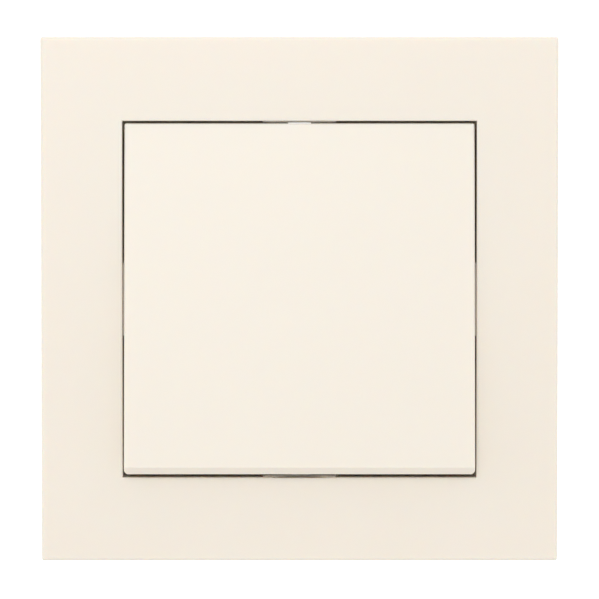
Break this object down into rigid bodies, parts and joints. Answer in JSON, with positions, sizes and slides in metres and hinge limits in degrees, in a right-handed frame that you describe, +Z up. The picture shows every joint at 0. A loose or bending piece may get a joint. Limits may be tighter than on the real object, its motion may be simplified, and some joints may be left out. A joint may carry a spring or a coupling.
{
  "type": "flush rocker light switch",
  "caption": "Flush wall light switch with a flat square cream cover frame and one large rocker key, on a mechanism with mounting plate, screw terminals and spreading claws.",
  "frame": {"origin": "middle of the box-screw pattern on the wall plane", "axes": "+Y into the wall, +Z up, +X to the right seen from the room; the key faces -Y"},
  "size_m": [0.0812, 0.0335, 0.0824],
  "materials": {
    "cover_plastic": "moulded urea, cream, satin gloss",
    "key_plastic": "moulded urea, cream, satin gloss",
    "carrier_plastic": "moulded polyamide, light grey",
    "plunger_plastic": "acetal, natural",
    "spring_steel": "drawn spring steel",
    "bezel_plastic": "moulded polyamide, off-white",
    "galvanised_steel": "zinc plated sheet",
    "housing_plastic": "moulded polyamide, off-white",
    "zinc_screw": "zinc plated",
    "contact_brass": "rolled brass strip",
    "contact_copper": "copper alloy strip",
    "contact_silver": "silver alloy rivet",
    "cage_steel": "yellow passivated steel",
    "claw_steel": "zinc plated spring steel"
  },
  "bodies": {
    "switch_base": {"cover_frame": "cover_plastic", "mechanism_bezel": "bezel_plastic", "mounting_plate": "galvanised_steel", "mechanism_housing": "housing_plastic", "housing_back": "housing_plastic", "housing_screws": "zinc_screw", "common_terminal": "contact_brass", "output_terminal": "contact_brass", "fixed_contact": "contact_silver"},
    "rocker": {"rocker_key": "key_plastic", "toggle_carrier": "carrier_plastic", "plunger_spring": "spring_steel"},
    "plunger": {"plunger": "plunger_plastic"},
    "contact_lever": {"moving_contact": "contact_copper", "moving_contact_tip": "contact_silver"},
    "terminal_cage_top": {"terminal_cage_top": "cage_steel"},
    "terminal_cage_bottom": {"terminal_cage_bottom": "cage_steel"},
    "terminal_screw_top": {"terminal_screw_top": "zinc_screw"},
    "terminal_screw_bottom": {"terminal_screw_bottom": "zinc_screw"},
    "claw_left": {"claw_left": "claw_steel"},
    "claw_right": {"claw_right": "claw_steel"},
    "claw_screw_left": {"claw_screw_left": "zinc_screw"},
    "claw_screw_right": {"claw_screw_right": "zinc_screw"},
    "claw_nut_left": {"claw_nut_left": "zinc_screw"},
    "claw_nut_right": {"claw_nut_right": "zinc_screw"}
  },
  "joints": [
    {"name": "rocker_tilt", "type": "hinge", "parent": "switch_base", "child": "rocker", "pos_m": [0, -0.006, -0.00012], "axis": [1, 0, 0], "range_deg": [0, 8]},
    {"name": "plunger_slide", "type": "slide", "parent": "rocker", "child": "plunger", "axis": [0, -0.9976, 0.0698], "range_m": [0, 0.0007], "stiffness_N_per_m": 300, "deforming": ["plunger_spring"]},
    {"name": "contact_rock", "type": "hinge", "parent": "switch_base", "child": "contact_lever", "pos_m": [0, 0.00945, 0], "axis": [1, 0, 0], "range_deg": [-14.01, 0.01]},
    {"name": "terminal_cage_top_lift", "type": "slide", "parent": "switch_base", "child": "terminal_cage_top", "axis": [0, 0, 1], "range_m": [0, 0.0021]},
    {"name": "terminal_screw_top_turn", "type": "hinge", "parent": "switch_base", "child": "terminal_screw_top", "pos_m": [0, 0.016, 0.0172], "axis": [0, 0, -1], "range_deg": [0, 1081]},
    {"name": "terminal_cage_bottom_lift", "type": "slide", "parent": "switch_base", "child": "terminal_cage_bottom", "axis": [0, 0, -1], "range_m": [0, 0.0021]},
    {"name": "terminal_screw_bottom_turn", "type": "hinge", "parent": "switch_base", "child": "terminal_screw_bottom", "pos_m": [0, 0.016, -0.0172], "axis": [0, 0, 1], "range_deg": [0, 1081]},
    {"name": "claw_nut_left_draw", "type": "slide", "parent": "switch_base", "child": "claw_nut_left", "axis": [0, -1, 0], "range_m": [0, 0.0011]},
    {"name": "claw_screw_left_turn", "type": "hinge", "parent": "switch_base", "child": "claw_screw_left", "pos_m": [-0.0252, 0, -0.0095], "axis": [0, 1, 0], "range_deg": [0, 793]},
    {"name": "claw_left_swing", "type": "hinge", "parent": "switch_base", "child": "claw_left", "pos_m": [-0.02, 0.0056, -0.0095], "axis": [0, 0, 1], "range_deg": [0, 22.01]},
    {"name": "claw_nut_right_draw", "type": "slide", "parent": "switch_base", "child": "claw_nut_right", "axis": [0, -1, 0], "range_m": [0, 0.0011]},
    {"name": "claw_screw_right_turn", "type": "hinge", "parent": "switch_base", "child": "claw_screw_right", "pos_m": [0.0252, 0, 0.0095], "axis": [0, 1, 0], "range_deg": [0, 793]},
    {"name": "claw_right_swing", "type": "hinge", "parent": "switch_base", "child": "claw_right", "pos_m": [0.02, 0.0056, 0.0095], "axis": [0, 0, -1], "range_deg": [0, 22.01]}
  ],
  "couplings": [
    {"joint": "contact_rock", "follows": "rocker_tilt", "ratio": -1.75},
    {"joint": "terminal_screw_top_turn", "follows": "terminal_cage_top_lift", "rad_per_m": 8976},
    {"joint": "terminal_screw_bottom_turn", "follows": "terminal_cage_bottom_lift", "rad_per_m": 8976},
    {"joint": "claw_screw_left_turn", "follows": "claw_nut_left_draw", "rad_per_m": 12566},
    {"joint": "claw_left_swing", "follows": "claw_nut_left_draw", "rad_per_m": 349.07},
    {"joint": "claw_screw_right_turn", "follows": "claw_nut_right_draw", "rad_per_m": 12566},
    {"joint": "claw_right_swing", "follows": "claw_nut_right_draw", "rad_per_m": 349.07}
  ]
}
